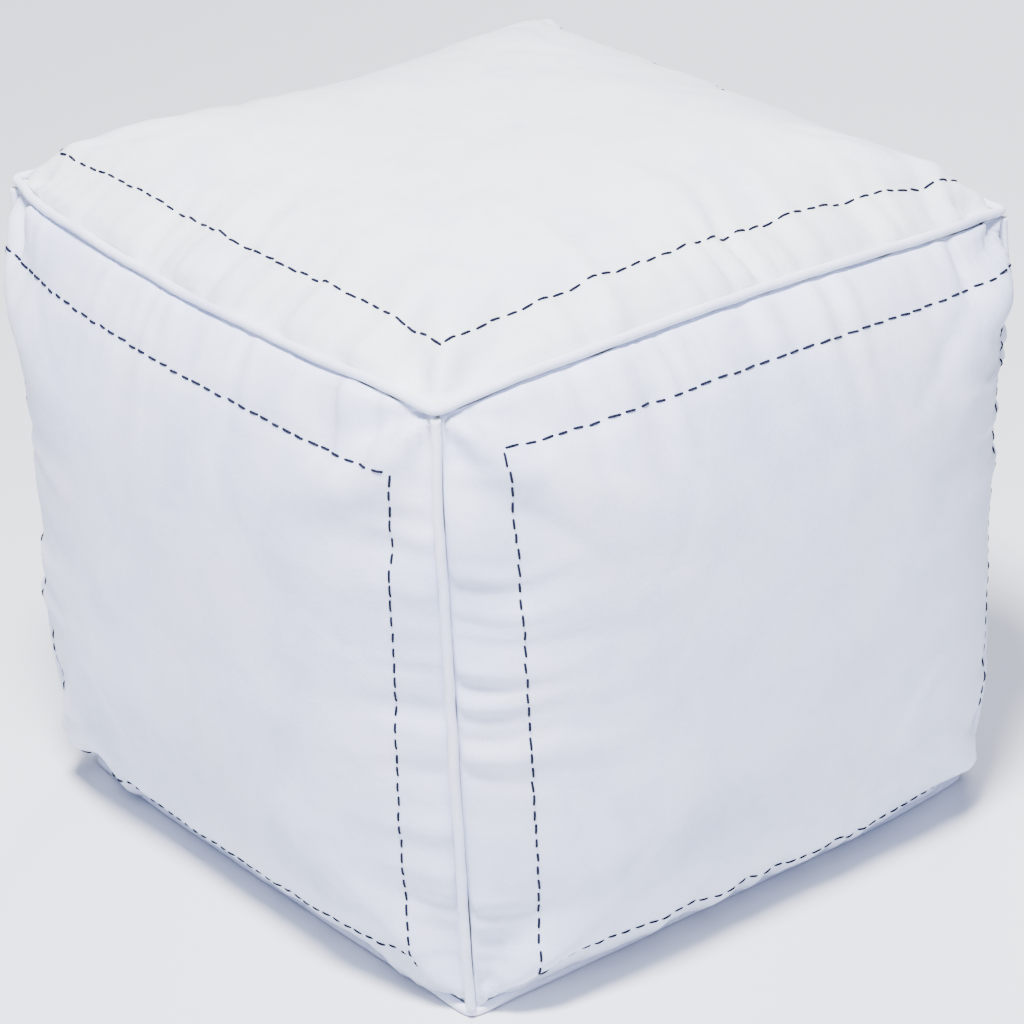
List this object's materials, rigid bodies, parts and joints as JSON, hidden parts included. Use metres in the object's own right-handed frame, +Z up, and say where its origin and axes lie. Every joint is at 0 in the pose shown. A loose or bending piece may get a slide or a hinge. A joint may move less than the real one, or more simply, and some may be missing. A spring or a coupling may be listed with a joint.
{
  "type": "leather pouf",
  "caption": "Square stuffed leather pouf with corded piping on every seam, hand stitched squares on its faces, a stuffed cotton liner and a zip in its base.",
  "frame": {"origin": "on the floor under the middle of the pouf", "axes": "+Z up, +X to the right face, -Y to the front face; the zip runs along X and closes towards +X"},
  "size_m": [0.5046, 0.5046, 0.4291],
  "materials": {
    "leather_side": "fine matt nappa, cool white",
    "leather_top": "fine matt nappa, white, lightly worn",
    "leather_base": "matt nappa, white",
    "leather_piping": "matt nappa strip wrapped round a cord",
    "piping_cord": "twisted cotton cord",
    "thread": "waxed navy thread",
    "liner_cotton": "plain woven unbleached cotton",
    "stuffing": "matted cotton wadding",
    "zip_tape": "woven zip tape",
    "zip_teeth": "moulded off-white teeth",
    "zip_metal": "nickel plated, lightly brushed"
  },
  "bodies": {
    "cover": {"top_panel": "leather_top", "front_panel": "leather_side", "right_panel": "leather_side", "back_panel": "leather_side", "left_panel": "leather_side", "base_panel_front": "leather_base", "base_panel_back": "leather_base", "top_piping_cover": "leather_piping", "top_piping_cord": "piping_cord", "base_piping_cover": "leather_piping", "base_piping_cord": "piping_cord", "front_right_piping_cover": "leather_piping", "front_right_piping_cord": "piping_cord", "back_right_piping_cover": "leather_piping", "back_right_piping_cord": "piping_cord", "back_left_piping_cover": "leather_piping", "back_left_piping_cord": "piping_cord", "front_left_piping_cover": "leather_piping", "front_left_piping_cord": "piping_cord", "top_stitching": "thread", "front_stitching": "thread", "right_stitching": "thread", "back_stitching": "thread", "left_stitching": "thread", "inner_liner": "liner_cotton", "stuffing": "stuffing", "zip_tape_front": "zip_tape", "zip_teeth_front": "zip_teeth", "zip_tape_back": "zip_tape", "zip_teeth_back": "zip_teeth", "zip_stop_closed_end": "zip_metal", "zip_stop_open_end": "zip_metal"},
    "zip_slider": {"zip_slider": "zip_metal"},
    "zip_pull_tab": {"zip_pull_tab": "zip_metal"}
  },
  "joints": [
    {"name": "zip_slide", "type": "slide", "parent": "cover", "child": "zip_slider", "axis": [-1, 0, 0], "range_m": [0, 0.2904]},
    {"name": "pull_tab_hinge", "type": "hinge", "parent": "zip_slider", "child": "zip_pull_tab", "pos_m": [0.1452, 0, 0.00345], "axis": [0, -1, 0], "range_deg": [0, 175]}
  ]
}
